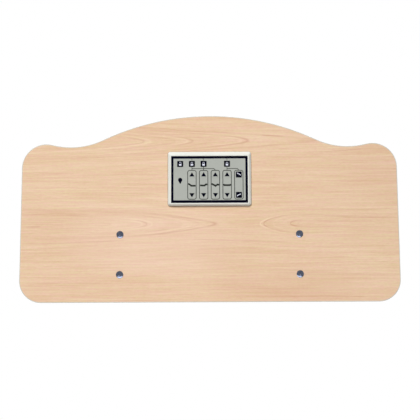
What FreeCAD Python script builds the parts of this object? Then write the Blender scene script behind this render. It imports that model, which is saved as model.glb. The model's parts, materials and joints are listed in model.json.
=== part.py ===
import FreeCAD, Part
import math
import os

# Bed head panel: a shaped wood-decor board with a pale edging, four domed sleeve nuts that
# fasten it to the bed's frame, and a keypad control let into the board under its crown.
# The origin is the centre of the fixing pattern, on the board's back face. X runs to the
# right as seen from the front, Z is up, and the front faces -Y. Sizes are in millimetres.

# Board outline
board_width = 950.0
board_thickness = 18.0
crown_height = 471.5
shoulder_height = 400.0
bottom_corner_radius = 55.0
shoulder_radius = 61.0
dip_radius = 188.0
crown_radius = 628.0

# Edging
band_thickness = 2.0
band_edge_radius = 1.2

# Fixings: dome-headed sleeve nuts with a square neck
fixing_spacing_x = 450.0
fixing_spacing_z = 100.0
fixing_above_edge = 119.0
nut_head_diameter = 18.0
nut_dome_height = 3.6
nut_rim_height = 0.9
nut_sleeve_diameter = 11.6
nut_neck_square = 12.0
nut_neck_length = 5.0
nut_thread_core_diameter = 6.8
nut_thread_depth = 13.0
nut_drill_point = 1.5
nut_recess = 0.2
nut_hole_clearance = 0.2

# Keypad layout, from the film's edges to the rows and columns of keys
column_count = 6
column_pitch = 29.5
film_side_margin = 22.7
film_top_margin = 19.9
lock_to_up = 27.5
up_to_down = 51.8
film_bottom_margin = 19.8
film_centre_above_fixings = 187.7

# Keypad film
film_thickness = 0.5
film_corner_radius = 1.5
film_clearance = 0.2
pad_size = 15.3
pad_corner_radius = 1.6
pad_height = 0.4

# Front housing
rim_width = 3.1
side_bevel = 5.3
top_bevel = 8.8
bottom_bevel = 3.3
bezel_height = 9.0
bevel_depth = 5.6
bezel_corner_radius = 6.0
rim_corner_radius = 2.0
rim_edge_radius = 0.5
film_recess = 1.1
front_wall = 2.4
bezel_wall = 3.5
channel_stop = 1.0
skirt_margin = 9.2
skirt_wall = 2.2
skirt_corner_radius = 4.0
skirt_end_gap = 1.1

# Seals and the cut-out
gasket_thickness = 0.8
gasket_inset = 0.8
gasket_width = 2.4
cutout_clearance = 1.0
cover_lap = 9.0
cover_thickness = 2.5
cover_corner_radius = 8.0
cover_clearance = 0.5
cover_recess = 0.2
cover_lip_height = 4.0
cover_lip_wall = 1.6
cover_lip_clearance = 0.3
seal_edge_margin = 1.5

# Keys
key_travel = 0.4
key_head_size = 10.5
key_head_corner_cut = 2.0
key_guide_clearance = 0.25
key_collar_size = 12.5
key_collar_corner_cut = 2.6
key_collar_thickness = 1.2
key_rest_gap = 0.1
key_film_gap = 0.1
key_tail_size = 3.6

# Switches
switch_size = 6.2
switch_height = 3.5
switch_total_height = 7.0
switch_stem_size = 3.4
switch_stem_sunk = 0.6
switch_stem_clearance = 0.15
switch_floor_gap = 0.2

# Circuit board and what is on it
circuit_standoff = 10.0
circuit_thickness = 1.6
circuit_clearance = 1.2
standoff_diameter = 5.8
standoff_row_up = 14.0
standoff_row_down = 27.0
chip_length = 20.0
chip_width = 14.0
chip_height = 2.0
chip_column = 1.5
led_length = 2.0
led_width = 1.25
led_height = 0.8
led_above_lock = 8.2
guide_diameter = 1.6
guide_hole_clearance = 0.1
guide_led_gap = 0.2
guide_film_gap = 0.1

# Screws
cover_boss_diameter = 7.0
cover_boss_from_wall = 3.0
cover_boss_gap = 0.3
cover_boss_clearance = 0.7
cover_screw_diameter = 3.0
cover_screw_length = 12.0
cover_screw_head_diameter = 5.6
cover_screw_head_height = 1.5
circuit_screw_diameter = 2.5
circuit_screw_length = 6.5
circuit_screw_head_diameter = 4.8
circuit_screw_head_height = 1.6
screw_clearance = 0.1
screw_pilot_spare = 1.0
screw_slot_width = 0.8
screw_slot_depth = 0.6

# Socket for the bed's lead
socket_length = 26.0
socket_width = 14.0
socket_corner_radius = 1.5
socket_wall = 1.8
socket_cavity_depth = 9.0
socket_hole_clearance = 0.3
socket_mouth_recess = 0.3
socket_pin_size = 1.0
socket_pin_pitch = 4.2
socket_pin_row_spacing = 7.2
socket_pins_per_row = 4
socket_pin_length = 7.0
socket_pin_clearance = 0.03
socket_above_down_row = 11.6
socket_column = 3.5

# Depths along Y, worked out from the board's front face forwards and backwards
board_front = -board_thickness
bezel_seat = board_front - gasket_thickness
rim_plane = board_front - bezel_height
bevel_start = rim_plane + bevel_depth
film_floor = rim_plane + film_recess
film_face = film_floor - film_thickness
wall_back = film_floor + front_wall
circuit_front = wall_back + circuit_standoff
circuit_back = circuit_front + circuit_thickness
cover_back = -cover_recess
cover_front = cover_back - cover_thickness
rebate_floor = cover_front - gasket_thickness

# Widths and heights of the control, worked out from the keypad's layout
film_width = (column_count - 1) * column_pitch + 2 * film_side_margin
film_height = film_top_margin + lock_to_up + up_to_down + film_bottom_margin
rim_width_outer = film_width + 2 * rim_width
rim_height_outer = film_height + 2 * rim_width
bezel_width = rim_width_outer + 2 * side_bevel
bezel_height_outer = rim_height_outer + top_bevel + bottom_bevel
skirt_width = film_width - 2 * (skirt_margin - skirt_wall)
skirt_height = film_height - 2 * (skirt_margin - skirt_wall)
skirt_inner_width = skirt_width - 2 * skirt_wall
skirt_inner_height = skirt_height - 2 * skirt_wall
cutout_width = skirt_width + 2 * cutout_clearance
cutout_height = skirt_height + 2 * cutout_clearance
cutout_corner_radius = skirt_corner_radius + cutout_clearance
cover_width = cutout_width + 2 * cover_lap
cover_height = cutout_height + 2 * cover_lap

# Heights of the control and of its rows of keys
control_z = film_centre_above_fixings
bezel_z = control_z + (top_bevel - bottom_bevel) / 2
lock_z = control_z + film_height / 2 - film_top_margin
up_z = lock_z - lock_to_up
down_z = up_z - up_to_down
led_z = lock_z + led_above_lock


def column_x(column):
    """The X of a column of keys, counted from 0 at the left."""
    return (column - (column_count - 1) / 2) * column_pitch


# Each key: what it does, its column and its row
keys = [
    ("lock_handset", 0, lock_z),
    ("lock_back", 1, lock_z),
    ("lock_legs", 2, lock_z),
    ("lock_height", 4, lock_z),
    ("back_up", 1, up_z),
    ("back_down", 1, down_z),
    ("legs_up", 2, up_z),
    ("legs_down", 2, down_z),
    ("both_up", 3, up_z),
    ("both_down", 3, down_z),
    ("height_up", 4, up_z),
    ("height_down", 4, down_z),
    ("tilt_feet_down", 5, up_z),
    ("tilt_head_down", 5, down_z),
]
key_places = [(name, column_x(column), z) for name, column, z in keys]
led_columns = [1, 2, 4]

# The corner bosses and two between them take the cover's screws
boss_x = skirt_inner_width / 2 - cover_boss_from_wall
boss_z = skirt_inner_height / 2 - cover_boss_from_wall
cover_screw_places = [(x, control_z + z) for x in (-boss_x, 0.0, boss_x) for z in (-boss_z, boss_z)]

# The circuit board's screws stand between columns of keys
standoff_columns = (0.5, 2.5, 4.5)
standoff_heights = (control_z + standoff_row_up, control_z - standoff_row_down)
standoff_places = [(column_x(column), z) for column in standoff_columns for z in standoff_heights]

fixing_places = [
    (side * fixing_spacing_x / 2, level * fixing_spacing_z / 2)
    for side in (-1, 1)
    for level in (-1, 1)
]

# The socket and the chip stand on the back of the circuit board, between its screws
socket_x = column_x(socket_column)
socket_z = down_z + socket_above_down_row
chip_x = column_x(chip_column)
chip_z = socket_z


def vector(x, y, z):
    return FreeCAD.Vector(x, y, z)


def along_y(x, z, diameter, start, end, end_diameter=None):
    """A round bar or cone along Y, from one depth to another."""
    if end_diameter is None:
        return Part.makeCylinder(diameter / 2, end - start, vector(x, start, z), vector(0, 1, 0))
    return Part.makeCone(diameter / 2, end_diameter / 2, end - start, vector(x, start, z), vector(0, 1, 0))


def rounded_outline(width, height, radius, y, x=0.0, z=0.0):
    """A rectangle with round corners, standing in the plane at depth y."""
    right, left = x + width / 2, x - width / 2
    top, bottom = z + height / 2, z - height / 2
    diagonal = radius * math.sqrt(0.5)
    edges = []
    corners = [
        (right - radius, top - radius, 1, 1),
        (left + radius, top - radius, -1, 1),
        (left + radius, bottom + radius, -1, -1),
        (right - radius, bottom + radius, 1, -1),
    ]
    arcs = []
    for cx, cz, sx, sz in corners:
        on_side = vector(cx + sx * radius, y, cz)
        on_level = vector(cx, y, cz + sz * radius)
        middle = vector(cx + sx * diagonal, y, cz + sz * diagonal)
        ends = (on_side, on_level) if sx * sz > 0 else (on_level, on_side)
        arcs.append((ends[0], middle, ends[1]))
    for i, (start, middle, end) in enumerate(arcs):
        following = arcs[(i + 1) % len(arcs)]
        edges.append(Part.Arc(start, middle, end).toShape())
        edges.append(Part.LineSegment(end, following[0]).toShape())
    return Part.Wire(edges)


def rounded_block(width, height, radius, start, end, x=0.0, z=0.0):
    """A block with round corners, from one depth to another."""
    outline = rounded_outline(width, height, radius, start, x, z)
    return Part.Face(outline).extrude(vector(0, end - start, 0))


def plain_block(width, height, start, end, x=0.0, z=0.0):
    corner = vector(x - width / 2, start, z - height / 2)
    return Part.makeBox(width, end - start, height, corner)


def cut_corner_block(width, height, cut, start, end, x=0.0, z=0.0):
    """A block with its four upright corners cut off at 45 degrees."""
    half_width, half_height = width / 2, height / 2
    quarter = [(half_width, half_height - cut), (half_width - cut, half_height)]
    corners = quarter + [(-a, b) for a, b in reversed(quarter)]
    corners += [(-a, -b) for a, b in quarter] + [(a, -b) for a, b in reversed(quarter)]
    points = [vector(x + a, start, z + b) for a, b in corners]
    return Part.Face(Part.makePolygon(points + points[:1])).extrude(vector(0, end - start, 0))


def offset_cut(cut, offset):
    """The corner cut of a block whose eight sides all stand off by offset."""
    return cut + offset * (2 - math.sqrt(2))


def save(name, *solids):
    """Write one node's solids to its own file."""
    shape = solids[0] if len(solids) == 1 else Part.makeCompound(list(solids))
    shape.exportStep("parts/" + name + ".step")


def arc_about(centre, radius, start, end):
    """An arc about a centre, between the directions of two points, the short way round."""
    to_start = (start - centre).normalize()
    to_end = (end - centre).normalize()
    middle = (to_start + to_end).normalize()
    return Part.Arc(centre + to_start * radius, centre + middle * radius, centre + to_end * radius)


def panel_outline(inset, y):
    """The panel's outline moved in by inset: straight foot and sides, a round shoulder, a dip and a crown."""
    bottom = -fixing_above_edge
    half = board_width / 2
    corner = vector(half - bottom_corner_radius, y, bottom + bottom_corner_radius)
    shoulder = vector(half - shoulder_radius, y, bottom + shoulder_height - shoulder_radius)
    crown = vector(0, y, bottom + crown_height - crown_radius)

    # The dip's centre lies one crown and one dip radius from the crown's centre, and one
    # shoulder and one dip radius from the shoulder's, so the three arcs meet smoothly
    to_crown = crown_radius + dip_radius
    to_shoulder = shoulder_radius + dip_radius
    line = shoulder - crown
    apart = line.Length
    along = (apart ** 2 + to_crown ** 2 - to_shoulder ** 2) / (2 * apart)
    aside = math.sqrt(to_crown ** 2 - along ** 2)
    line.normalize()
    upward = vector(-line.z, 0, line.x)
    dip = crown + line * along + upward * aside

    def right_side():
        foot = Part.LineSegment(vector(0, y, bottom + inset), vector(corner.x, y, bottom + inset))
        low = arc_about(
            corner, bottom_corner_radius - inset, corner - vector(0, 0, 1), corner + vector(1, 0, 0))
        side = Part.LineSegment(vector(half - inset, y, corner.z), vector(half - inset, y, shoulder.z))
        high = arc_about(shoulder, shoulder_radius - inset, shoulder + vector(1, 0, 0), dip)
        hollow = arc_about(dip, dip_radius + inset, shoulder, crown)
        return [foot, low, side, high, hollow]

    edges = [curve.toShape() for curve in right_side()]
    mirrored = [edge.mirror(vector(0, y, 0), vector(1, 0, 0)) for edge in edges]
    right_end = crown + (dip - crown).normalize() * (crown_radius - inset)
    left_end = vector(-right_end.x, y, right_end.z)
    top = Part.Arc(right_end, vector(0, y, bottom + crown_height - inset), left_end).toShape()
    return Part.Wire(Part.__sortEdges__(edges + [top] + mirrored))


def panel_slab(inset):
    outline = panel_outline(inset, board_front)
    return Part.Face(outline).extrude(vector(0, board_thickness, 0))


def at_depth(shape, depths, tolerance=1e-4):
    """The edges of a shape that lie flat in one of the planes at these depths."""
    flat = []
    for edge in shape.Edges:
        box = edge.BoundBox
        for depth in depths:
            if abs(box.YMin - depth) < tolerance and abs(box.YMax - depth) < tolerance:
                flat.append(edge)
    return flat


def make_board():
    board = panel_slab(band_thickness)
    board = board.cut(rounded_block(
        cutout_width, cutout_height, cutout_corner_radius, board_front, 0.0, 0.0, control_z))
    board = board.cut(rounded_block(
        cover_width + 2 * cover_clearance, cover_height + 2 * cover_clearance,
        cover_corner_radius + cover_clearance, rebate_floor, 0.0, 0.0, control_z))
    hole = nut_sleeve_diameter + 2 * nut_hole_clearance
    neck = nut_neck_square + 2 * nut_hole_clearance
    for x, z in fixing_places:
        board = board.cut(along_y(x, z, hole, board_front, 0.0))
        neck_end = board_front + nut_neck_length + nut_hole_clearance
        board = board.cut(plain_block(neck, neck, board_front, neck_end, x, z))
    save("board", board)


def make_edge_band():
    outer = panel_slab(0.0)
    outer = outer.makeFillet(band_edge_radius, at_depth(outer, (board_front, 0.0)))
    save("edge_band", outer.cut(panel_slab(band_thickness)))


def sleeve_nut(x, z):
    """A domed head on a sleeve, with a square neck and a blind thread hole open at the back."""
    head_radius = nut_head_diameter / 2
    sleeve_radius = nut_sleeve_diameter / 2
    rim = board_front - nut_rim_height
    top = rim - nut_dome_height
    back = -nut_recess
    dome_radius = (head_radius ** 2 + nut_dome_height ** 2) / (2 * nut_dome_height)
    half_way = math.asin(head_radius / dome_radius) / 2
    dome_middle = vector(
        x + dome_radius * math.sin(half_way), top + dome_radius * (1 - math.cos(half_way)), z)
    corners = [
        vector(x + head_radius, rim, z),
        vector(x + head_radius, board_front, z),
        vector(x + sleeve_radius, board_front, z),
        vector(x + sleeve_radius, back, z),
        vector(x, back, z),
        vector(x, top, z),
    ]
    edges = [Part.Arc(corners[5], dome_middle, corners[0]).toShape()]
    edges += [Part.LineSegment(a, b).toShape() for a, b in zip(corners, corners[1:])]
    body = Part.Face(Part.Wire(edges)).revolve(vector(x, 0, z), vector(0, 1, 0), 360)
    neck = plain_block(nut_neck_square, nut_neck_square, board_front, board_front + nut_neck_length, x, z)
    thread_end = back - nut_thread_depth
    thread = along_y(x, z, nut_thread_core_diameter, thread_end, back)
    point = along_y(x, z, 0.0, thread_end - nut_drill_point, thread_end, nut_thread_core_diameter)
    return body.fuse(neck).cut(thread.fuse(point)).removeSplitter()


def make_control_bezel():
    """The moulded front housing: bevelled rim, film recess, key guides, skirt and screw bosses."""
    base = rounded_block(
        bezel_width, bezel_height_outer, bezel_corner_radius, bevel_start, bezel_seat, 0.0, bezel_z)
    bevel = Part.makeLoft([
        rounded_outline(bezel_width, bezel_height_outer, bezel_corner_radius, bevel_start, 0.0, bezel_z),
        rounded_outline(rim_width_outer, rim_height_outer, rim_corner_radius, rim_plane, 0.0, control_z),
    ], True, True)
    body = base.fuse(bevel).removeSplitter()
    body = body.makeFillet(rim_edge_radius, at_depth(body, (rim_plane, bevel_start)))

    # The open channel behind the rim leaves an outer wall that lands on the seal
    channel_floor = bevel_start + channel_stop
    channel = rounded_block(
        bezel_width - 2 * bezel_wall, bezel_height_outer - 2 * bezel_wall,
        bezel_corner_radius - bezel_wall, channel_floor, bezel_seat, 0.0, bezel_z)
    body = body.cut(channel)
    skirt_end = rebate_floor - skirt_end_gap
    body = body.fuse(rounded_block(
        skirt_width, skirt_height, skirt_corner_radius, channel_floor, skirt_end, 0.0, control_z))
    body = body.cut(rounded_block(
        skirt_inner_width, skirt_inner_height, skirt_corner_radius - skirt_wall,
        wall_back, skirt_end, 0.0, control_z))

    # Bosses for the cover's screws and stand-offs for the circuit board
    boss_end = cover_front - cover_boss_gap
    for x, z in cover_screw_places:
        body = body.fuse(along_y(x, z, cover_boss_diameter, wall_back, boss_end))
    for x, z in standoff_places:
        body = body.fuse(along_y(x, z, standoff_diameter, wall_back, circuit_front))
    pilot = cover_screw_diameter + 2 * screw_clearance
    pilot_start = cover_back - cover_screw_length - screw_pilot_spare
    for x, z in cover_screw_places:
        body = body.cut(along_y(x, z, pilot, pilot_start, boss_end))
    pilot = circuit_screw_diameter + 2 * screw_clearance
    pilot_start = circuit_back - circuit_screw_length - screw_pilot_spare
    for x, z in standoff_places:
        body = body.cut(along_y(x, z, pilot, pilot_start, circuit_front))

    # The film's recess, then a guide hole for each key and each light
    body = body.cut(rounded_block(
        film_width + 2 * film_clearance, film_height + 2 * film_clearance,
        film_corner_radius + film_clearance, rim_plane, film_floor, 0.0, control_z))
    guide = key_head_size + 2 * key_guide_clearance
    for name, x, z in key_places:
        cut = offset_cut(key_head_corner_cut, key_guide_clearance)
        body = body.cut(cut_corner_block(guide, guide, cut, film_floor, wall_back, x, z))
    for column in led_columns:
        hole = guide_diameter + 2 * guide_hole_clearance
        body = body.cut(along_y(column_x(column), led_z, hole, film_floor, wall_back))
    save("control_bezel", body.removeSplitter())


def make_bezel_gasket():
    """A flat seal between the housing's outer wall and the board."""
    width = bezel_width - 2 * gasket_inset
    height = bezel_height_outer - 2 * gasket_inset
    radius = bezel_corner_radius - gasket_inset
    outer = rounded_block(width, height, radius, bezel_seat, board_front, 0.0, bezel_z)
    inner = rounded_block(
        width - 2 * gasket_width, height - 2 * gasket_width, radius - gasket_width,
        bezel_seat, board_front, 0.0, bezel_z)
    save("bezel_gasket", outer.cut(inner))


def make_keypad_film():
    """The front film, raised over each key and hollow behind."""
    film = rounded_block(film_width, film_height, film_corner_radius, film_face, film_floor, 0.0, control_z)
    for name, x, z in key_places:
        film = film.fuse(rounded_block(
            pad_size, pad_size, pad_corner_radius, film_face - pad_height, film_floor, x, z))
    hollow = pad_size - 2 * film_thickness
    hollow_cut = offset_cut(0.0, pad_corner_radius - film_thickness)
    for name, x, z in key_places:
        film = film.cut(cut_corner_block(
            hollow, hollow, hollow_cut, film_floor - pad_height, film_floor, x, z))
    save("keypad_film", film.removeSplitter())


def make_keys():
    """A guided head, a collar that stops behind the wall, and a tail on the switch."""
    head_top = film_floor - pad_height + key_film_gap
    collar_front = wall_back + key_rest_gap
    collar_back = collar_front + key_collar_thickness
    stem_top = circuit_front - switch_total_height
    stem_end = circuit_front - switch_height + switch_stem_sunk
    for name, x, z in key_places:
        head = cut_corner_block(
            key_head_size, key_head_size, key_head_corner_cut, head_top, collar_front, x, z)
        collar = cut_corner_block(
            key_collar_size, key_collar_size, key_collar_corner_cut, collar_front, collar_back, x, z)
        tail = plain_block(key_tail_size, key_tail_size, collar_back, stem_top, x, z)
        save("key_" + name, head.fuse([collar, tail]).removeSplitter())
        save("stem_" + name, plain_block(switch_stem_size, switch_stem_size, stem_top, stem_end, x, z))


def make_switch_bodies():
    top = circuit_front - switch_height
    well = switch_stem_size + 2 * switch_stem_clearance
    well_end = top + switch_stem_sunk + key_travel + switch_floor_gap
    bodies = []
    for name, x, z in key_places:
        body = plain_block(switch_size, switch_size, top, circuit_front, x, z)
        bodies.append(body.cut(plain_block(well, well, top, well_end, x, z)))
    save("switch_bodies", *bodies)


def make_circuit_board():
    width = skirt_inner_width - 2 * circuit_clearance
    height = skirt_inner_height - 2 * circuit_clearance
    circuit = plain_block(width, height, circuit_front, circuit_back, 0.0, control_z)
    notch = cover_boss_diameter + 2 * cover_boss_clearance
    for x, z in cover_screw_places:
        circuit = circuit.cut(plain_block(notch, notch, circuit_front, circuit_back, x, z))
    hole = circuit_screw_diameter + 2 * screw_clearance
    for x, z in standoff_places:
        circuit = circuit.cut(along_y(x, z, hole, circuit_front, circuit_back))
    save("circuit_board", circuit)


def make_lights():
    """A small light on the circuit board under each window, and a clear guide up to the film."""
    led_top = circuit_front - led_height
    guide_end = led_top - guide_led_gap
    guide_top = film_floor + guide_film_gap
    lights = []
    guides = []
    for column in led_columns:
        x = column_x(column)
        lights.append(plain_block(led_length, led_width, led_top, circuit_front, x, led_z))
        guides.append(along_y(x, led_z, guide_diameter, guide_top, guide_end))
    save("status_leds", *lights)
    save("light_guides", *guides)


def make_driver_chip():
    save("driver_chip", plain_block(
        chip_length, chip_width, circuit_back, circuit_back + chip_height, chip_x, chip_z))


def make_circuit_screws():
    screws = []
    for x, z in standoff_places:
        head_end = circuit_back + circuit_screw_head_height
        head = along_y(x, z, circuit_screw_head_diameter, circuit_back, head_end)
        shank = along_y(x, z, circuit_screw_diameter, circuit_back - circuit_screw_length, circuit_back)
        slot = plain_block(
            circuit_screw_head_diameter, screw_slot_width, head_end - screw_slot_depth, head_end, x, z)
        screws.append(head.fuse(shank).cut(slot).removeSplitter())
    save("circuit_screws", *screws)


def pin_places():
    """The socket's pins stand in two rows."""
    first = socket_x - (socket_pins_per_row - 1) * socket_pin_pitch / 2
    return [
        (first + i * socket_pin_pitch, socket_z + row * socket_pin_row_spacing / 2)
        for row in (-1, 1)
        for i in range(socket_pins_per_row)
    ]


def make_cable_socket():
    """The lead's inlet: a shrouded socket on the circuit board that reaches through the cover."""
    mouth = cover_back - socket_mouth_recess
    floor = mouth - socket_cavity_depth
    shroud = rounded_block(
        socket_length, socket_width, socket_corner_radius, circuit_back, mouth, socket_x, socket_z)
    shroud = shroud.cut(rounded_block(
        socket_length - 2 * socket_wall, socket_width - 2 * socket_wall, socket_corner_radius / 2,
        floor, mouth, socket_x, socket_z))
    pins = []
    for x, z in pin_places():
        hole = socket_pin_size + 2 * socket_pin_clearance
        shroud = shroud.cut(plain_block(hole, hole, circuit_back, floor, x, z))
        pin_end = floor + socket_pin_length
        pins.append(plain_block(socket_pin_size, socket_pin_size, circuit_back, pin_end, x, z))
    save("cable_socket", shroud)
    save("socket_pins", *pins)


def make_rear_gasket():
    """A flat seal between the cover's edge and the board."""
    margin = 2 * seal_edge_margin
    outer = rounded_block(
        cover_width - margin, cover_height - margin, cover_corner_radius - seal_edge_margin,
        rebate_floor, cover_front, 0.0, control_z)
    inner = rounded_block(
        cutout_width + margin, cutout_height + margin, cutout_corner_radius + seal_edge_margin,
        rebate_floor, cover_front, 0.0, control_z)
    save("rear_gasket", outer.cut(inner))


def make_rear_cover():
    """The back plate, flush in the board's rebate, with a lip inside the skirt and countersunk holes."""
    cover = rounded_block(
        cover_width, cover_height, cover_corner_radius, cover_front, cover_back, 0.0, control_z)
    lip_width = skirt_inner_width - 2 * cover_lip_clearance
    lip_height = skirt_inner_height - 2 * cover_lip_clearance
    lip_radius = skirt_corner_radius - skirt_wall
    lip_end = cover_front - cover_lip_height
    lip = rounded_block(lip_width, lip_height, lip_radius, lip_end, cover_front, 0.0, control_z)
    lip = lip.cut(plain_block(
        lip_width - 2 * cover_lip_wall, lip_height - 2 * cover_lip_wall,
        lip_end, cover_front, 0.0, control_z))
    for x, z in cover_screw_places:
        gap = cover_boss_diameter + 2 * cover_boss_clearance
        lip = lip.cut(plain_block(gap, gap, lip_end, cover_front, x, z))
    cover = cover.fuse(lip)
    hole = cover_screw_diameter + 2 * screw_clearance
    for x, z in cover_screw_places:
        cover = cover.cut(along_y(x, z, hole, cover_front, cover_back))
        sink = along_y(
            x, z, cover_screw_diameter, cover_back - cover_screw_head_height - screw_clearance,
            cover_back, cover_screw_head_diameter + 2 * screw_clearance)
        cover = cover.cut(sink)
    cover = cover.cut(rounded_block(
        socket_length + 2 * socket_hole_clearance, socket_width + 2 * socket_hole_clearance,
        socket_corner_radius + socket_hole_clearance, cover_front, cover_back, socket_x, socket_z))
    save("rear_cover", cover.removeSplitter())


def make_cover_screws():
    screws = []
    for x, z in cover_screw_places:
        head_start = cover_back - cover_screw_head_height
        head = along_y(x, z, cover_screw_diameter, head_start, cover_back, cover_screw_head_diameter)
        shank = along_y(x, z, cover_screw_diameter, cover_back - cover_screw_length, head_start)
        slot = plain_block(
            cover_screw_head_diameter, screw_slot_width, cover_back - screw_slot_depth, cover_back, x, z)
        screws.append(head.fuse(shank).cut(slot).removeSplitter())
    save("cover_screws", *screws)


os.makedirs("parts", exist_ok=True)
make_board()
make_edge_band()
save("sleeve_nuts", *[sleeve_nut(x, z) for x, z in fixing_places])
make_control_bezel()
make_bezel_gasket()
make_keypad_film()
make_keys()
make_switch_bodies()
make_circuit_board()
make_lights()
make_driver_chip()
make_circuit_screws()
make_cable_socket()
make_rear_gasket()
make_rear_cover()
make_cover_screws()
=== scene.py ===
import json
import math

import bmesh
import bpy
from mathutils import Matrix, Vector


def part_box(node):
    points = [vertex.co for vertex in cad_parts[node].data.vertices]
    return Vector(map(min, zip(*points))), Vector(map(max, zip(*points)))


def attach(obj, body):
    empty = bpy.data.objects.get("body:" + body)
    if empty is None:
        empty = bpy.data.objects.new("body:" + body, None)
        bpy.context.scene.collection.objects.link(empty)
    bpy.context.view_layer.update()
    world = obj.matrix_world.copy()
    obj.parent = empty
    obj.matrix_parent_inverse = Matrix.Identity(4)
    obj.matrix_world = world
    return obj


# Bed head panel: the finish of every piece, the keypad's print and the studio.
# Places are in metres in the model's own frame: X to the right, Z up, and the front faces -Y.

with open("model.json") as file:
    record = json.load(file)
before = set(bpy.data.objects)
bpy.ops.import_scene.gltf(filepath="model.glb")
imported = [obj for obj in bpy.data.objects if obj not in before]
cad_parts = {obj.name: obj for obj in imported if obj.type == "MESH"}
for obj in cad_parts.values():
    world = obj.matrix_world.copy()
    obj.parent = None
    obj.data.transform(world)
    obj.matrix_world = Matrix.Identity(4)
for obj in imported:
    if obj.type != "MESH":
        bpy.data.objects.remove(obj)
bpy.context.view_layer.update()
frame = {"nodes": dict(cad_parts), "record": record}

mm = 0.001

# The camera, fitted to the panel's outline in the photograph
camera_place = Vector((0.0, -1.7691, -0.0794))
camera_pitch = math.radians(6.38)
camera_roll = 0.0045
camera_lens = 60.0
camera_sensor = 36.0
camera_shift = (0.00088, -0.00505)

# The studio: an even white surround, a soft lamp from the upper left, one behind for the back and a
# low one that only the metal reflects
ambient_level = 0.27
key_level = 0.645
key_direction = Vector((-0.2, -0.75, 0.63)).normalized()
key_distance = 6.0
key_size = (2.0, 1.5)
back_level = 0.58
back_direction = Vector((0.35, 0.75, 0.55)).normalized()
back_distance = 6.0
back_size = (3.0, 3.0)
low_lamp_place = Vector((-0.14, -0.25, -0.53))
low_lamp_size = (1.3, 0.42)
low_lamp_brightness = 6.5
light_target = Vector((0.0, -0.018, 0.1))
floor_z = -0.55
floor_size = 60.0
floor_tint = (0.86, 0.86, 0.85, 1.0)
floor_stretch = (0.6, 1.0, 0.0)
floor_fade = (0.42, 0.80)

# Most of a noise's values lie in this range
noise_range = (0.3, 0.7)

# The finishes' patterns: sizes in millimetres, ranges of the noise and strengths
mottle_size = 40.0
mottle_shade = 0.955
pit_range = (0.35, 0.7)
pit_strength = 0.25
scratch_grain = (6.0, 6.0, 0.25)
cloud_size = 5.0
ink_grain = 0.6
ink_cover = (0.3, 0.75)
ink_thinning = 1.12
ink_lift = 0.001
ink_relief = 0.004
haze_size = 1.5
haze_roughness = (0.04, 0.18)
track_turn = 1.6
track_area = 22.0
track_edge = (0.55, 0.75)
track_height = 0.03

# The thread in the fixings' bores, in millimetres
thread_pitch = 1.25
thread_depth = 0.6
thread_margin = 0.1

# A thin dark ring of the gasket's foam round the housing's foot, painted contact shadow, and the
# housing's corner, in millimetres
shadow_lip_width = 0.7
housing_corner = 6.0

# The keypad's print, in millimetres
ink_thickness = 0.05
ink_sunk = 0.01
border_side = 5.8
border_top = 6.4
border_bottom = 6.7
border_corner = 1.5
column_outline_width = 23.0
column_outline_top = 11.6
column_outline_bottom = 11.5
column_outline_corner = 5.7
column_line = 1.7
lock_square = 15.2
square_corner = 1.55
tilt_square = 15.0
arrow_base = 13.0
arrow_height = 10.8
bus_height = 12.2
bus_line = 1.5
bus_slope = 3.6
pictogram_line = 4.5
pictogram_height = 26.4
tick_line = 1.2
window_ring = 0.9
window_dot = 0.6
bus_gap = 0.4
pad_rise = 0.4
up_arrow_lift = 0.8
down_arrow_drop = 0.6
mark_below_up = 15.1
padlock_body = (6.2, 4.2, 0.8)
padlock_body_drop = 2.4
shackle_outer = 2.5
shackle_inner = 1.7
shackle_rise = 1.9
shackle_sunk = 0.2
shackle_open_foot = 1.3
shackle_open_lift = 0.8
drop_radius = 5.3
drop_rise = 2.0
drop_point = 9.0
drop_span = (-25, 205)
drop_steps = 20
tilt_bar_line = 1.8

# The steps in a corner and in an arc, the smallest corner, and the limit on how far a bend runs out
arc_steps = 8
turn_steps = 12
least_corner = 0.2
least_bend = 0.5

# The tilt keys' bars, and for each column the part of the bed that it moves, as points across and up
upper_tilt_bar = [(-4.4, 3.6), (0.6, 1.2), (5.2, -2.0)]
lower_tilt_bar = [(-4.8, -3.0), (-0.6, 0.2), (4.8, 2.4)]
bed_sketches = [
    [(-9.2, 3.8), (-6.0, 1.6), (-1.6, -1.8), (9.2, -1.8)],
    [(-9.2, -1.0), (2.0, -1.4), (5.4, 1.4), (9.4, 1.8)],
    [(-9.6, 3.2), (-5.4, 1.0), (0.4, -2.4), (5.2, 1.2), (9.8, 0.2)],
    [(-9.8, 1.2), (-6.2, -0.6), (6.4, -0.6), (9.8, 0.8)],
]


def colour(red, green, blue):
    """An 8-bit screen colour as the linear values that a shader takes."""
    def linear(value):
        share = value / 255
        if share <= 0.04045:
            return share / 12.92
        return ((share + 0.055) / 1.055) ** 2.4
    return (linear(red), linear(green), linear(blue), 1.0)


def add_node(tree, kind, inputs=None, **settings):
    """A shader node. Its inputs are plain values or other nodes' outputs, by name or number."""
    made = tree.nodes.new("ShaderNode" + kind)
    for name, value in settings.items():
        setattr(made, name, value)
    for key, value in (inputs or {}).items():
        if isinstance(value, bpy.types.NodeSocket):
            tree.links.new(value, made.inputs[key])
        else:
            made.inputs[key].default_value = value
    return made


def maths(tree, operation, *values):
    """One step of arithmetic on plain values or other nodes' outputs."""
    return add_node(tree, "Math", dict(enumerate(values)), operation=operation).outputs[0]


def ranged(tree, value, low, high, new_low=0.0, new_high=1.0, curve="SMOOTHSTEP"):
    """A value carried from one range to another and held at its ends."""
    inputs = {0: value, 1: low, 2: high, 3: new_low, 4: new_high}
    return add_node(tree, "MapRange", inputs, interpolation_type=curve).outputs[0]


def total(tree, values):
    """All the values added up."""
    result = values[0]
    for value in values[1:]:
        result = maths(tree, "ADD", result, value)
    return result


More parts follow.
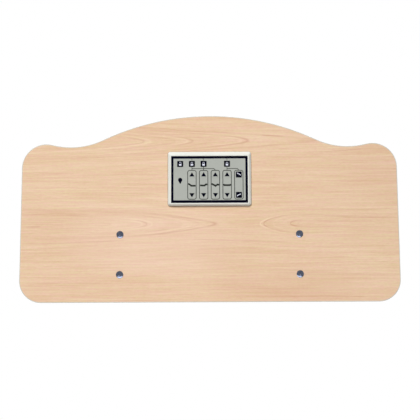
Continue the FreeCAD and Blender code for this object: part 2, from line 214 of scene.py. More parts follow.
def sum_of_squares(tree, first, second):
    """Two values, each times itself, added up."""
    return total(tree, [maths(tree, "MULTIPLY", value, value) for value in (first, second)])


def mix(tree, share, first, second):
    """The first colour, turned into the second by a share."""
    return add_node(tree, "Mix", {0: share, 6: first, 7: second}, data_type="RGBA").outputs[2]


def shaded(tint, share):
    """A colour with its light times a share."""
    return tuple(part * share for part in tint[:3]) + (1.0,)


def place_in_mm(tree):
    """The point's place on the object, in millimetres."""
    place = add_node(tree, "TexCoord").outputs["Object"]
    return add_node(tree, "VectorMath", {0: place, "Scale": 1 / mm}, operation="SCALE").outputs[0]


def split(tree, vector):
    """A vector's three parts."""
    return add_node(tree, "SeparateXYZ", {0: vector}).outputs


def joined(tree, x, y, z):
    """A vector of three parts."""
    return add_node(tree, "CombineXYZ", {0: x, 1: y, 2: z}).outputs[0]


def stretched(tree, place, sizes):
    """A place divided by the size that one unit of a pattern takes along each axis."""
    return add_node(tree, "VectorMath", {0: place, 1: sizes}, operation="DIVIDE").outputs[0]


def even(size):
    """One size along every axis."""
    return (size, size, size)


def noise(tree, place, sizes, detail=2.0, roughness=0.5):
    """Noise, 0 to 1, whose blots take about these sizes in millimetres along the axes."""
    inputs = {"Vector": stretched(tree, place, sizes), "Scale": 1.0, "Detail": detail,
              "Roughness": roughness}
    return add_node(tree, "TexNoise", inputs).outputs[0]


def bump(tree, shader, height, depth):
    """Relief from a height, where a height of 1 stands for the depth in millimetres."""
    inputs = {"Strength": 1.0, "Distance": depth * mm, "Height": height}
    made = add_node(tree, "Bump", inputs)
    tree.links.new(made.outputs[0], shader.inputs["Normal"])


def new_material(name, values):
    """A material, its nodes and its shader, with values set on the shader's own sockets."""
    material = bpy.data.materials.new(name)
    material.use_nodes = True
    tree = material.node_tree
    shader = tree.nodes["Principled BSDF"]
    for socket, value in values.items():
        shader.inputs[socket].default_value = value
    return material, tree, shader


def add_camera():
    """The camera where the photograph's fitted one stood, with the same lens."""
    forward = Vector((0.0, math.cos(camera_pitch), math.sin(camera_pitch)))
    upward = Vector((0.0, -math.sin(camera_pitch), math.cos(camera_pitch)))
    right = Vector((1.0, 0.0, 0.0))
    side = math.cos(camera_roll) * right - math.sin(camera_roll) * upward
    top = math.sin(camera_roll) * right + math.cos(camera_roll) * upward
    data = bpy.data.cameras.new("camera")
    data.lens = camera_lens
    data.sensor_width = camera_sensor
    data.shift_x, data.shift_y = camera_shift
    camera = bpy.data.objects.new("camera", data)
    turn = Matrix((side, top, -forward)).transposed()
    camera.matrix_world = Matrix.Translation(camera_place) @ turn.to_4x4()
    bpy.context.scene.collection.objects.link(camera)
    bpy.context.scene.camera = camera


def surround_strength(tree):
    """White where it is seen, reflected or seen through, and the lighting level elsewhere."""
    path = add_node(tree, "LightPath").outputs
    seen = maths(tree, "MAXIMUM", path["Is Camera Ray"], path["Is Glossy Ray"])
    seen = maths(tree, "MAXIMUM", seen, path["Is Transmission Ray"])
    return ranged(tree, seen, 0.0, 1.0, ambient_level, 1.0, curve="LINEAR")


def add_world():
    """The white surround, shown in plain screen colours."""
    world = bpy.data.worlds.new("studio")
    world.use_nodes = True
    tree = world.node_tree
    background = tree.nodes["Background"]
    background.inputs["Color"].default_value = (1.0, 1.0, 1.0, 1.0)
    tree.links.new(surround_strength(tree), background.inputs["Strength"])
    scene = bpy.context.scene
    scene.world = world
    scene.view_settings.view_transform = "Standard"


def add_lamp(name, place, target, size, level):
    """An oblong lamp whose light, where it meets the target squarely, is level times plain."""
    data = bpy.data.lights.new(name, "AREA")
    data.shape = "RECTANGLE"
    data.size, data.size_y = size
    data.energy = level * math.pi ** 2 * (place - target).length_squared
    lamp = bpy.data.objects.new(name, data)
    lamp.location = place
    lamp.rotation_mode = "QUATERNION"
    lamp.rotation_quaternion = (target - place).to_track_quat("-Z", "Y")
    bpy.context.scene.collection.objects.link(lamp)
    return lamp


def add_soft_lamp(name, direction, distance, size, level):
    """A lamp that shows in no reflection, at level times plain on a surface that faces it along Y."""
    place = light_target + direction * distance
    lamp = add_lamp(name, place, light_target, size, level / abs(direction.y))
    lamp.visible_glossy = False


def add_low_lamp():
    """A bright strip in front of the panel's foot that shows only as a reflection, low on the domes."""
    width, depth = low_lamp_size
    straight_up = low_lamp_place + Vector((0.0, 0.0, 1.0))
    lamp = add_lamp("low", low_lamp_place, straight_up, low_lamp_size, 0.0)
    lamp.data.energy = low_lamp_brightness * math.pi * width * depth
    lamp.visible_camera = False
    lamp.visible_diffuse = False
    lamp.visible_transmission = False
    lit = bpy.data.collections.new("low_lamp_lights")
    lit.objects.link(frame["nodes"]["sleeve_nuts"])
    lamp.light_linking.receiver_collection = lit


def add_floor():
    """A pale floor under the object that turns into the white surround further out."""
    half = floor_size / 2
    mesh = bpy.data.meshes.new("floor")
    corners = [(-half, -half), (half, -half), (half, half), (-half, half)]
    mesh.from_pydata([(x, y, floor_z) for x, y in corners], [], [(0, 1, 2, 3)])
    floor = bpy.data.objects.new("floor", mesh)
    bpy.context.scene.collection.objects.link(floor)
    material, tree, shader = new_material("floor", {"Base Color": floor_tint, "Roughness": 0.9})
    place = add_node(tree, "TexCoord").outputs["Object"]
    flat = add_node(tree, "VectorMath", {0: place, 1: floor_stretch}, operation="MULTIPLY").outputs[0]
    away = add_node(tree, "VectorMath", {0: flat}, operation="LENGTH").outputs["Value"]
    far = ranged(tree, away, *floor_fade)
    glow = add_node(tree, "Emission", {"Strength": surround_strength(tree)})
    blend = add_node(tree, "MixShader", {0: far, 1: shader.outputs[0], 2: glow.outputs[0]})
    tree.links.new(blend.outputs[0], tree.nodes["Material Output"].inputs["Surface"])
    mesh.materials.append(material)


# The wood's figure, in millimetres: two rows of nested flames whose tips close where the
# depth of the cut, in rings, meets them. A line is dark, or light where its strength is negative.
flame_split = 175.0
upper_axis = 288.0
upper_depth = 36.0
upper_span = (-700.0, 330.0)
upper_tips = [(-167.0, 0.5), (-150.0, -0.5), (-87.0, 0.3), (-56.0, -0.5), (-43.0, 0.6), (2.0, 0.2),
              (80.0, -0.5), (97.0, 0.8), (240.0, 0.3), (266.0, 0.4)]
middle_axis = 76.0
middle_depth = 27.0
middle_left_span = (-330.0, 40.0)
middle_right_span = (110.0, 260.0)
middle_tips = [(-250.0, 0.3), (-170.0, -1.0), (-158.0, 0.7), (-145.0, -1.0), (-70.0, 0.4),
               (-46.0, -0.4), (-28.0, 0.5), (-14.0, -0.3), (13.0, 0.9)]
opposing_tips = [(127.0, -0.9), (136.0, 1.0), (160.0, -0.3), (203.0, 1.0), (222.0, 0.4)]
left_tips_end = (40.0, 80.0)
opposing_tips_begin = (80.0, 120.0)

# The rings lie wider apart at the left, close to the axis, and each side has its own streaks
left_spread = 0.4
left_spread_span = (-470.0, 0.0)
left_spread_fade = (40.0, 140.0)
side_reach = 60.0

# The lines' width and strength, at the tips and far from them, and the noise that breaks them up
ring_line_width = 3.2
line_strength = 0.62
pale_line_strength = 0.6
upper_far_strength = 0.45
middle_far_strength = 0.27
tip_pace = 0.09
far_pace = (0.75, 1.0)
break_up_streak = (60.0, 3.0)
break_up_range = (-0.15, 0.1)
break_up_least = 0.35

# How far the figure sways, where the back begins along Y, and how far apart the streaks' noise is
# cut for the two sides of the axis, for the back and for the upper row
sway_height = 1.7
sway_grain = (150.0, 1000.0, 40.0)
sway_range = (0.2, 0.8)
board_middle = -9.0
side_slice = 0.7
back_slice = 5.0
upper_slice = 9.0

# Streaks that follow the rings, finer ones that run straight, and those of the hue, each with a
# length, a width and a strength, and then the flecks and the colours
ring_layers = [(260.0, 14.0, 0.6), (200.0, 6.0, 0.9)]
straight_layers = [(260.0, 2.6, 0.95), (70.0, 2.2, 0.8), (22.0, 1.2, 0.8), (8.0, 4.0, 0.5),
                   (12.0, 0.4, 0.5)]
hue_layers = [(200.0, 3.0, 1.0), (40.0, 2.2, 0.8), (10.0, 3.5, 0.8)]
hue_spread = 0.22
hue_offset = (37.0, 53.0, 3.0)
fleck_grain = (5.0, 0.5, 1.0)
fleck_range = (0.66, 0.74)
fleck_strength = 0.25
wood_relief = 0.003
wood_dark_yellow = (225, 193, 151)
wood_dark_pink = (228, 186, 157)
wood_light_yellow = (240, 216, 179)
wood_light_pink = (243, 209, 186)
wood_brown = (206, 152, 124)
wood_pale = (252, 228, 198)
wood_flush = (253, 220, 202)

# Wide patches, paler and pinker or browner where the strength is negative: x, z, reach along x
# and along z, and strength. The browner one at the top right corner is painted shade, where the lamp's
# light falls off
patches_and_painted_falloff = [
    (-145.0, 34.0, 270.0, 125.0, 0.27),
    (190.0, -78.0, 240.0, 60.0, -0.16),
    (330.0, -104.0, 420.0, 40.0, -0.05),
    # Painted shade: the top right corner is darker, where the lamp's light falls off
    (470.0, 215.0, 190.0, 110.0, -0.13),
    (-300.0, 100.0, 260.0, 24.0, -0.08),
    (-410.0, 78.0, 130.0, 50.0, -0.06),
    (-320.0, 10.0, 130.0, 75.0, -0.07),
    (48.0, 3.0, 110.0, 65.0, -0.09),
    (-330.0, -104.0, 360.0, 62.0, -0.06),
]

# Single streaks: from x to x, from z to z, width and darkness, in millimetres
streaks = [
    (-480.0, -250.0, 113.0, 92.0, 8.0, 0.25),
    (-480.0, -300.0, 103.0, 97.0, 2.5, 0.45),
    (-480.0, -350.0, 91.0, 84.0, 2.5, 0.5),
    (-470.0, -420.0, 70.0, 70.0, 4.0, 0.7),
    (-440.0, -330.0, 64.0, 62.0, 3.0, 0.4),
    (-480.0, -180.0, 26.0, 36.0, 2.0, 0.6),
    (-480.0, -240.0, -70.0, -71.0, 5.0, 0.5),
    (-480.0, -300.0, -79.0, -80.0, 6.0, 0.4),
    (150.0, 480.0, -49.0, -52.0, 6.0, 0.4),
    (60.0, 480.0, -105.0, -107.0, 2.4, 0.9),
    (60.0, 420.0, -86.0, -87.5, 2.0, 0.5),
    (-300.0, 60.0, -113.0, -114.0, 2.0, 0.5),
    (270.0, 400.0, 257.0, 267.0, 2.4, 0.7),
    (-60.0, 215.0, 38.0, 29.0, 2.0, 0.6),
    (190.0, 480.0, 99.0, 90.0, 5.0, 0.6),
    (320.0, 480.0, 92.0, 90.0, 2.2, 0.6),
    (130.0, 480.0, 110.0, 113.0, 2.0, 0.4),
    (10.0, 230.0, 306.0, 297.0, 2.0, 0.5),
]


def wood_rings(tree, x, z):
    """A point's ring in the flames' nested shape, how fast the rings pass, and its side of the axis."""
    upper_cut = maths(tree, "MULTIPLY", ranged(tree, x, *upper_span), upper_depth)
    rise = ranged(tree, x, *middle_left_span)
    fall = ranged(tree, x, *middle_right_span, middle_depth, 0.0)
    middle_cut = maths(tree, "MULTIPLY", rise, fall)
    upper = maths(tree, "GREATER_THAN", z, flame_split)
    cut = add_node(tree, "Mix", {0: upper, 2: middle_cut, 3: upper_cut}, data_type="FLOAT").outputs[0]
    axis = ranged(tree, upper, 0.0, 1.0, middle_axis, upper_axis, curve="LINEAR")
    away = maths(tree, "SUBTRACT", z, axis)
    widened = ranged(tree, x, *left_spread_span, left_spread, 0.0, curve="LINEAR")
    close_by = ranged(tree, maths(tree, "ABSOLUTE", away), *left_spread_fade, 1.0, 0.0)
    spread = maths(tree, "ADD", maths(tree, "MULTIPLY", widened, close_by), 1.0)
    away = maths(tree, "DIVIDE", away, spread)
    rings = maths(tree, "SQRT", sum_of_squares(tree, away, cut))

    # How fast the rings pass under a step on the surface: slowly at the tips, so lines there stay thin
    steep = maths(tree, "DIVIDE", away, maths(tree, "MAXIMUM", rings, 1.0))
    pace = maths(tree, "SQRT", maths(tree, "ADD", maths(tree, "MULTIPLY", steep, steep), tip_pace ** 2))
    side = ranged(tree, away, -side_reach, side_reach, -1.0, 1.0)
    return rings, pace, side, upper


def smooth_step(value, low, high):
    """The shader's smooth step between two values, for a plain number."""
    share = min(max((value - low) / (high - low), 0.0), 1.0)
    return share * share * (3 - 2 * share)


def ring_line(tree, rings, pace, ring):
    """A thin line along one ring."""
    away = maths(tree, "ABSOLUTE", maths(tree, "SUBTRACT", rings, ring))
    return ranged(tree, maths(tree, "DIVIDE", away, pace), 0.0, ring_line_width, 1.0, 0.0)


def flame_lines(tree, x, rings, pace, upper):
    """The dark and light lines that close at the flames' tips."""
    lines = []
    lower = maths(tree, "SUBTRACT", 1.0, upper)
    left = maths(tree, "MULTIPLY", lower, ranged(tree, x, *left_tips_end, 1.0, 0.0))
    right = maths(tree, "MULTIPLY", lower, ranged(tree, x, *opposing_tips_begin))
    for tip, darkness in upper_tips:
        ring = upper_depth * smooth_step(tip, *upper_span)
        lines.append((ring_line(tree, rings, pace, ring), upper, darkness))
    for tip, darkness in middle_tips:
        ring = middle_depth * smooth_step(tip, *middle_left_span)
        lines.append((ring_line(tree, rings, pace, ring), left, darkness))
    for tip, darkness in opposing_tips:
        ring = middle_depth * (1 - smooth_step(tip, *middle_right_span))
        lines.append((ring_line(tree, rings, pace, ring), right, darkness))
    parts = [maths(tree, "MULTIPLY", maths(tree, "MULTIPLY", a, b), c) for a, b, c in lines]
    far_strength = ranged(tree, upper, 0.0, 1.0, middle_far_strength, upper_far_strength,
                          curve="LINEAR")
    near_tip = ranged(tree, pace, *far_pace, 1.0, far_strength)
    return maths(tree, "MULTIPLY", total(tree, parts), near_tip)


def streak_lines(tree, x, z):
    """The single streaks, each faded out over a quarter of its length at both ends."""
    parts = []
    for x_start, x_end, z_start, z_end, width, darkness in streaks:
        centre = ranged(tree, x, x_start, x_end, z_start, z_end, curve="LINEAR")
        away = maths(tree, "ABSOLUTE", maths(tree, "SUBTRACT", z, centre))
        line = ranged(tree, away, 0.0, width, darkness, 0.0)
        fade = (x_end - x_start) / 4
        begins = ranged(tree, x, x_start, x_start + fade)
        ends = ranged(tree, x, x_end - fade, x_end, 1.0, 0.0)
        parts.append(maths(tree, "MULTIPLY", line, maths(tree, "MULTIPLY", begins, ends)))
    return total(tree, parts)


def patch_tones(tree, x, z):
    """The paler patches and the browner ones, the painted shade at the top right among them, each as a
    strength.
    """
    paler, browner_and_painted_shade = [], []
    for centre_x, centre_z, reach_x, reach_z, strength in patches_and_painted_falloff:
        across = maths(tree, "DIVIDE", maths(tree, "SUBTRACT", x, centre_x), reach_x)
        up = maths(tree, "DIVIDE", maths(tree, "SUBTRACT", z, centre_z), reach_z)
        share = ranged(tree, sum_of_squares(tree, across, up), 0.0, 1.0, abs(strength), 0.0)
        (paler if strength > 0 else browner_and_painted_shade).append(share)
    return total(tree, paler), total(tree, browner_and_painted_shade)


def streak_noise(tree, grain, length, width):
    """Noise drawn out along the grain, about 0 and between -0.5 and 0.5."""
    made = noise(tree, grain, (length, width, 1.0), detail=1.0)
    return maths(tree, "SUBTRACT", made, 0.5)


def streak_layers(tree, grain, layers):
    """Streaks of several lengths and widths, each times its strength."""
    parts = [maths(tree, "MULTIPLY", streak_noise(tree, grain, length, width), strength)
             for length, width, strength in layers]
    return total(tree, parts)


def wood_decor():
    """Beech decor: fine pinkish and yellowish streaks, faint brown ring lines and short flecks."""
    material, tree, shader = new_material("wood_decor", {"Roughness": 0.5, "Specular IOR Level": 0.35})
    place = place_in_mm(tree)
    sway = noise(tree, place, sway_grain, detail=3.0)
    lift = ranged(tree, sway, *sway_range, -sway_height, sway_height, curve="LINEAR")
    x, y, z = split(tree, place)
    z = maths(tree, "ADD", z, lift)
    rings, pace, side, upper = wood_rings(tree, x, z)

    # The back carries another stretch of the same decor
    at_back = maths(tree, "GREATER_THAN", y, board_middle)
    back_part = maths(tree, "MULTIPLY", at_back, back_slice)
    side_part = maths(tree, "MULTIPLY", side, side_slice)
    upper_part = maths(tree, "MULTIPLY", upper, upper_slice)
    grain = joined(tree, x, rings, total(tree, [side_part, back_part, upper_part]))
    straight = joined(tree, x, z, back_part)
    streaked = total(tree, [streak_layers(tree, grain, ring_layers),
                            streak_layers(tree, straight, straight_layers)])
    lightness = ranged(tree, streaked, -0.5, 0.5, curve="LINEAR")
    shifted = add_node(tree, "VectorMath", {0: straight, 1: hue_offset}, operation="ADD").outputs[0]
    hues = streak_layers(tree, shifted, hue_layers)
    hue = ranged(tree, hues, -hue_spread, hue_spread, curve="LINEAR")
    flecks = ranged(tree, noise(tree, joined(tree, x, z, y), fleck_grain, detail=1.0), *fleck_range)

    front = maths(tree, "SUBTRACT", 1.0, at_back)
    lines = total(tree, [flame_lines(tree, x, rings, pace, upper), streak_lines(tree, x, z)])
    lines = maths(tree, "MULTIPLY", lines, front)
    break_up = streak_noise(tree, grain, *break_up_streak)
    lines = maths(tree, "MULTIPLY", lines, ranged(tree, break_up, *break_up_range, break_up_least, 1.0))
    lighter = maths(tree, "MULTIPLY", lines, -pale_line_strength)

    dark = mix(tree, hue, colour(*wood_dark_yellow), colour(*wood_dark_pink))
    light = mix(tree, hue, colour(*wood_light_yellow), colour(*wood_light_pink))
    tone = mix(tree, lightness, dark, light)
    paler, browner_and_painted_shade = patch_tones(tree, x, z)
    tone = mix(tree, maths(tree, "MULTIPLY", paler, front), tone, colour(*wood_flush))
    # The browner patches, and the painted shade of the top right corner
    tone = mix(tree, maths(tree, "MULTIPLY", browner_and_painted_shade, front), tone, colour(*wood_brown))
    tone = mix(tree, maths(tree, "MULTIPLY", lines, line_strength), tone, colour(*wood_brown))
    tone = mix(tree, lighter, tone, colour(*wood_pale))
    tone = mix(tree, maths(tree, "MULTIPLY", flecks, fleck_strength), tone, colour(*wood_brown))
    tree.links.new(tone, shader.inputs["Base Color"])
    bump(tree, shader, mix(tree, 0.5, lightness, flecks), wood_relief)
    return material


def moulded(name, tint, roughness=0.5, specular=0.4, grain=0.35, depth=0.012):
    """Moulded plastic: a faint mottle and the fine relief of a textured mould."""
    values = {"Roughness": roughness, "Specular IOR Level": specular}
    material, tree, shader = new_material(name, values)
    place = place_in_mm(tree)
    mottle = noise(tree, place, even(mottle_size), detail=3.0)
    relief = noise(tree, place, even(grain), roughness=0.6)
    darker = shaded(tint, mottle_shade)
    tone = mix(tree, ranged(tree, mottle, *noise_range), tint, darker)
    tone = mix(tree, ranged(tree, relief, *pit_range, 0.0, pit_strength), tone, darker)
    tree.links.new(tone, shader.inputs["Base Color"])
    bump(tree, shader, relief, depth)
    return material


def bore_thread(tree, place):
    """The height of a right-hand thread, 0 to 1, inside the bores that the bed's bolts screw into."""
    dims = next(row for row in frame["record"]["mounts"] if row["name"] == "frame_bolts")["dims"]
    x, y, z = split(tree, place)

    def from_bore(value, spacing):
        """How far a value lies from the middle of the bores on its side."""
        bore = maths(tree, "MULTIPLY", maths(tree, "SIGN", value), spacing / 2)
        return maths(tree, "SUBTRACT", value, bore)

    from_x = from_bore(x, dims["spacing_x_mm"])
    from_z = from_bore(z, dims["spacing_y_mm"])
    reach = maths(tree, "SQRT", sum_of_squares(tree, from_x, from_z))
    inside = maths(tree, "LESS_THAN", reach, dims["hole_r_mm"] + thread_margin)
    turn = maths(tree, "DIVIDE", maths(tree, "ARCTAN2", from_x, from_z), 2 * math.pi)
    along = maths(tree, "SUBTRACT", maths(tree, "DIVIDE", y, thread_pitch), turn)
    height = maths(tree, "MULTIPLY", maths(tree, "PINGPONG", along, 0.5), 2.0)
    return maths(tree, "MULTIPLY", height, inside)


def metal(name, tint, roughness=0.2, scratch=0.12, depth=0.004, blotch=0.25, threaded=False):
    """Plated metal, finely scratched and a little cloudy, with a thread in its bores if it has one."""
    material, tree, shader = new_material(name, {"Metallic": 1.0})
    place = place_in_mm(tree)
    scratches = noise(tree, place, scratch_grain, detail=3.0, roughness=0.7)
    clouds = noise(tree, place, even(cloud_size))
    tone = mix(tree, ranged(tree, clouds, *noise_range), tint, shaded(tint, 1 - blotch))
    tree.links.new(tone, shader.inputs["Base Color"])
    rough = ranged(tree, scratches, *noise_range, roughness, roughness + scratch)
    tree.links.new(rough, shader.inputs["Roughness"])
    height = maths(tree, "MULTIPLY", scratches, depth)
    if threaded:
        thread = maths(tree, "MULTIPLY", bore_thread(tree, place), thread_depth)
        height = maths(tree, "ADD", height, thread)
    bump(tree, shader, height, 1.0)
    return material


def keypad_film():
    """Matt polyester film with the fine grain that such films are embossed with."""
    return moulded("keypad_film", colour(181, 184, 177), roughness=0.55, specular=0.2, grain=0.25,
                   depth=0.006)


def ink(name, tint):
    """Screen-printed ink, a little uneven in its cover."""
    material, tree, shader = new_material(name, {"Roughness": 0.6, "Specular IOR Level": 0.02})
    place = place_in_mm(tree)
    cover = noise(tree, place, even(ink_grain), detail=3.0, roughness=0.7)
    thinner = tuple(min(share * ink_thinning + ink_lift, 1.0) for share in tint[:3]) + (1.0,)
    tone = mix(tree, ranged(tree, cover, *ink_cover), tint, thinner)
    tree.links.new(tone, shader.inputs["Base Color"])
    bump(tree, shader, cover, ink_relief)
    return material


def circuit():
    """Green solder mask over copper tracks that run in two directions."""
    material, tree, shader = new_material("circuit", {"Roughness": 0.35, "Specular IOR Level": 0.5})
    place = place_in_mm(tree)
    x, y, z = split(tree, place)
    along, across = [
        maths(tree, "ABSOLUTE", maths(tree, "SINE", maths(tree, "MULTIPLY", value, track_turn)))
        for value in (z, x)
    ]
    area = noise(tree, place, even(track_area), detail=0.0)
    chosen = maths(tree, "GREATER_THAN", area, 0.5)
    track = add_node(tree, "Mix", {0: chosen, 2: along, 3: across}, data_type="FLOAT").outputs[0]
    track = ranged(tree, track, *track_edge)
    tone = mix(tree, track, colour(20, 74, 44), colour(42, 112, 70))
    tree.links.new(tone, shader.inputs["Base Color"])
    bump(tree, shader, track, track_height)
    return material


def light_guide():
    """Clear acrylic with the slight haze of a moulded rod."""
    values = {"Base Color": (0.93, 0.96, 0.96, 1.0), "Transmission Weight": 1.0, "IOR": 1.49}
    material, tree, shader = new_material("light_guide", values)
    haze = noise(tree, place_in_mm(tree), even(haze_size))
    tree.links.new(ranged(tree, haze, *noise_range, *haze_roughness), shader.inputs["Roughness"])
    return material


def dress_nodes():
    """Give every CAD node the finish of its material slot."""
    finishes = {
        "wood_decor": wood_decor(),
        # The edging's tint is a little darker than its own pale grey: painted shade along the thin edge
        "edging": moulded("edging", colour(212, 206, 193), roughness=0.45, grain=0.5, depth=0.02),
        "fixing_metal": metal("fixing_metal", colour(90, 95, 110), roughness=0.16, threaded=True),
        "housing": moulded("housing", colour(234, 235, 228), roughness=0.6, specular=0.12),
        "rear_housing": moulded("rear_housing", colour(214, 213, 207), grain=0.6, depth=0.03),
        "keypad": keypad_film(),
        "seal": moulded("seal", colour(44, 44, 46), roughness=0.85, specular=0.2, grain=0.8, depth=0.1),
        "circuit": circuit(),
        "chip": moulded("chip", colour(30, 30, 32), roughness=0.6),
        "switch": moulded("switch", colour(38, 38, 40), roughness=0.55),
        "switch_stem": moulded("switch_stem", colour(64, 64, 66), roughness=0.5),
        "key": moulded("key", colour(206, 207, 203), roughness=0.45),
        "screw_steel": metal("screw_steel", colour(186, 188, 190), roughness=0.3),
        "light": moulded("light", colour(236, 224, 150), roughness=0.25, specular=0.5),
        "light_guide": light_guide(),
        "socket": moulded("socket", colour(30, 30, 32), roughness=0.5),
        "pin_metal": metal("pin_metal", colour(212, 178, 104), roughness=0.22),
    }
    for row in frame["record"]["subparts"]:
        mesh = frame["nodes"][row["node"]].data
        mesh.materials.clear()
        mesh.materials.append(finishes[row["material_slot"]])


def rounded(x, z, width, height, radius):
    """A rectangle with round corners, as points in order."""
    points = []
    for quarter, (sx, sz) in enumerate([(1, 1), (-1, 1), (-1, -1), (1, -1)]):
        centre_x = x + sx * (width / 2 - radius)
        centre_z = z + sz * (height / 2 - radius)
        for step in range(arc_steps + 1):
            turn = (quarter + step / arc_steps) * math.pi / 2
            points.append((centre_x + radius * math.cos(turn), centre_z + radius * math.sin(turn)))
    return points


def rounded_ring(x, z, width, height, radius, line):
    """A rounded rectangle's outline of an even width, as its outer and inner points."""
    inner_radius = max(radius - line, least_corner)
    return (rounded(x, z, width, height, radius),
            rounded(x, z, width - 2 * line, height - 2 * line, inner_radius))


def squares_at(places, size):
    """A square with slightly round corners at each place."""
    return [rounded(x, z, size, size, square_corner) for x, z in places]


def disc(x, z, radius):
    """A round spot, as points in order."""
    return rounded(x, z, 2 * radius, 2 * radius, radius)


def arc_points(x, z, radius, start, end, steps=turn_steps):
    """Points on an arc between two angles in degrees."""
    turns = [math.radians(start + (end - start) * i / steps) for i in range(steps + 1)]
    return [(x + radius * math.cos(turn), z + radius * math.sin(turn)) for turn in turns]


def moved(points, x, z):
    """Points about 0, carried to a place."""
    return [(x + across, z + up) for across, up in points]


def stroke(points, width):
    """A bent line of even width as one closed outline."""
    path = [Vector(point) for point in points]
    first_side, second_side = [], []
    for i, point in enumerate(path):
        before = (point - path[i - 1]).normalized() if i else None
        after = (path[i + 1] - point).normalized() if i + 1 < len(path) else None
        into, out = before or after, after or before
        along = (into + out).normalized()
        across = Vector((-along.y, along.x))
        reach = width / 2 / max(across.dot(Vector((-out.y, out.x))), least_bend)
        first_side.append(tuple(point + across * reach))
        second_side.append(tuple(point - across * reach))
    return first_side + second_side[::-1]


def add_print(name, shapes, material, surface, thickness=ink_thickness):
    """Printed shapes as thin flat solids on a surface that faces the front.

    A shape is a list of points in millimetres, or an outer and an inner list for a ring."""
    front = surface - thickness * mm
    back = surface + ink_sunk * mm
    mesh = bmesh.new()

    def loop(points, depth):
        return [mesh.verts.new((x * mm, depth, z * mm)) for x, z in points]

    def wall(near, far):
        for i in range(len(near)):
            following = (i + 1) % len(near)
            mesh.faces.new((near[i], near[following], far[following], far[i]))

    for shape in shapes:
        if isinstance(shape, tuple):
            outer, inner = shape
            rings = [loop(outer, front), loop(outer, back), loop(inner, back), loop(inner, front)]
            for near, far in zip(rings, rings[1:] + rings[:1]):
                wall(near, far)
        else:
            near, far = loop(shape, front), loop(shape, back)
            wall(near, far)
            mesh.faces.new(near)
            mesh.faces.new(far[::-1])
    bmesh.ops.recalc_face_normals(mesh, faces=mesh.faces)
    data = bpy.data.meshes.new(name)
    mesh.to_mesh(data)
    mesh.free()
    data.materials.append(material)
    piece = bpy.data.objects.new(name, data)
    bpy.context.scene.collection.objects.link(piece)
    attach(piece, "panel")


def add_shadow_lip():
    """A thin dark ring of the gasket's foam where the housing meets the board: painted contact shadow
    round the housing.
    """
    low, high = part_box("control_bezel")
    seal_low, seal_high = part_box("bezel_gasket")
    middle = (low + high) / 2 / mm
    width = (high.x - low.x) / mm + 2 * shadow_lip_width
    height = (high.z - low.z) / mm + 2 * shadow_lip_width
    line = (width - (seal_high.x - seal_low.x) / mm) / 2
    ring = rounded_ring(middle.x, middle.z, width, height, housing_corner + shadow_lip_width, line)
    material = frame["nodes"]["bezel_gasket"].data.materials[0]
    thickness = (seal_high.y - seal_low.y) / mm
    add_print("gasket_lip", [ring], material, seal_high.y, thickness)


def key_centre(name):
    """A key's place on the keypad, in millimetres."""
    low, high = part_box("key_" + name)
    middle = (low + high) / 2 / mm
    return middle.x, middle.z


def padlock_shapes(x, z, opened):
    """A padlock: a round-cornered body and a bent shackle, swung up on one side when open."""
    body = rounded(x, z - padlock_body_drop, *padlock_body)
    lift = shackle_open_lift if opened else 0.0
    top = z + shackle_rise + lift
    right_foot = z - shackle_sunk
    left_foot = z + shackle_open_foot + lift if opened else right_foot
    shackle = [(x + shackle_outer, right_foot)]
    shackle += arc_points(x, top, shackle_outer, 0, 180)
    shackle += [(x - shackle_outer, left_foot), (x - shackle_inner, left_foot)]
    shackle += arc_points(x, top, shackle_inner, 180, 0)
    shackle += [(x + shackle_inner, right_foot)]
    return [body, shackle]


def arrow(x, z, direction):
    """A solid triangle that points up for a direction of 1 and down for -1."""
    half_base, half_height = arrow_base / 2, arrow_height / 2 * direction
    return [(x, z + half_height), (x - half_base, z - half_height), (x + half_base, z - half_height)]


def drop(x, z):
    """A drop with its point downwards."""
    return arc_points(x, z + drop_rise, drop_radius, *drop_span, drop_steps) + [(x, z - drop_point)]


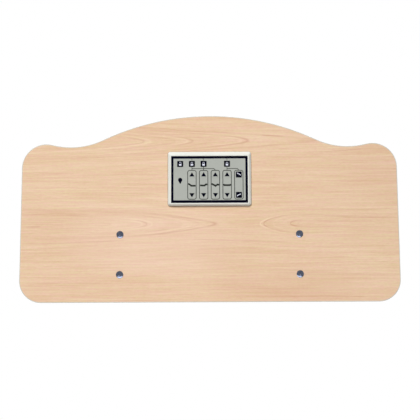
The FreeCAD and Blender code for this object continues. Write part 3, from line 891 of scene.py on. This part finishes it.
def print_keypad():
    """The film's border, key marks, column outlines, joining lines and bed pictograms."""
    navy = ink("navy_ink", colour(2, 2, 19))
    grey = ink("grey_ink", colour(52, 54, 50))
    white = ink("white_ink", colour(226, 229, 244))
    film_low, film_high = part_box("keypad_film")
    pad_face = film_low.y
    film_face = pad_face + pad_rise * mm
    middle = (film_low + film_high) / 2 / mm
    width, height = (film_high.x - film_low.x) / mm, (film_high.z - film_low.z) / mm

    locks = ["lock_handset", "lock_back", "lock_legs", "lock_height"]
    pairs = ["back", "legs", "both", "height"]
    lock_z = key_centre("lock_back")[1]
    up_z = key_centre("back_up")[1]
    down_z = key_centre("back_down")[1]
    columns = [key_centre(pair + "_up")[0] for pair in pairs] + [key_centre("tilt_feet_down")[0]]
    locked = (columns[0], columns[1], columns[3])
    outline_top = up_z + column_outline_top
    outline_bottom = down_z - column_outline_bottom

    inner_z = middle.z + (border_bottom - border_top) / 2
    inner_height = height - border_top - border_bottom
    border = (rounded(middle.x, middle.z, width, height, border_corner),
              rounded(middle.x, inner_z, width - 2 * border_side, inner_height, least_corner))
    add_print("keypad_border", [border], navy, film_face)
    outlines = [
        rounded_ring(x, (outline_top + outline_bottom) / 2, column_outline_width,
                     outline_top - outline_bottom, column_outline_corner, column_line)
        for x in columns
    ]
    add_print("column_outlines", outlines, grey, film_face)

    lock_places = [key_centre(name) for name in locks]
    add_print("lock_squares", squares_at(lock_places, lock_square), navy, pad_face)
    padlocks = []
    for i, (x, z) in enumerate(lock_places):
        padlocks += padlock_shapes(x, z, opened=i == 0)
    add_print("padlocks", padlocks, white, pad_face - ink_thickness * mm)

    arrows = [arrow(x, up_z + up_arrow_lift, 1) for x in columns[:4]]
    arrows += [arrow(x, down_z - down_arrow_drop, -1) for x in columns[:4]]
    add_print("arrows", arrows, navy, pad_face)
    tilt_x = columns[4]
    tilt_places = [(tilt_x, up_z), (tilt_x, down_z)]
    add_print("tilt_squares", squares_at(tilt_places, tilt_square), navy, pad_face)
    bars = [
        stroke(moved(upper_tilt_bar, tilt_x, up_z), tilt_bar_line),
        stroke(moved(lower_tilt_bar, tilt_x, down_z), tilt_bar_line),
    ]
    add_print("tilt_bars", bars, white, pad_face - ink_thickness * mm)

    # Lines from the locks to the columns that they lock, and ticks up to the windows
    lock_bottom = lock_z - lock_square / 2
    bus_z = lock_z - bus_height
    bus = []
    for start, end in ((columns[0], columns[2]), (columns[3], columns[4])):
        bus.append(stroke([(start, bus_z), (end - bus_slope, bus_z), (end, outline_top)], bus_line))
    for x in locked:
        bus.append(stroke([(x, lock_bottom - bus_gap), (x, outline_top)], bus_line))
    add_print("joining_lines", bus, grey, film_face)

    guide_low, guide_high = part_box("light_guides")
    window_z = (guide_low.z + guide_high.z) / 2 / mm
    border_inside = film_high.z / mm - border_top
    ticks = [stroke([(x, window_z + window_ring), (x, border_inside)], tick_line) for x in locked]
    ticks += [(disc(x, window_z, window_ring), disc(x, window_z, window_dot)) for x in locked]
    add_print("window_marks", ticks, grey, film_face)

    pictograms = [stroke(moved(sketch, x, up_z - pictogram_height), pictogram_line)
                  for x, sketch in zip(columns, bed_sketches)]
    add_print("bed_pictograms", pictograms, grey, film_face)

    mark_x = lock_places[0][0]
    add_print("handset_mark", [drop(mark_x, up_z - mark_below_up)], navy, film_face)


add_camera()
add_world()
add_soft_lamp("key", key_direction, key_distance, key_size, key_level)
add_soft_lamp("back", back_direction, back_distance, back_size, back_level)
add_low_lamp()
add_floor()
dress_nodes()
add_shadow_lip()
print_keypad()
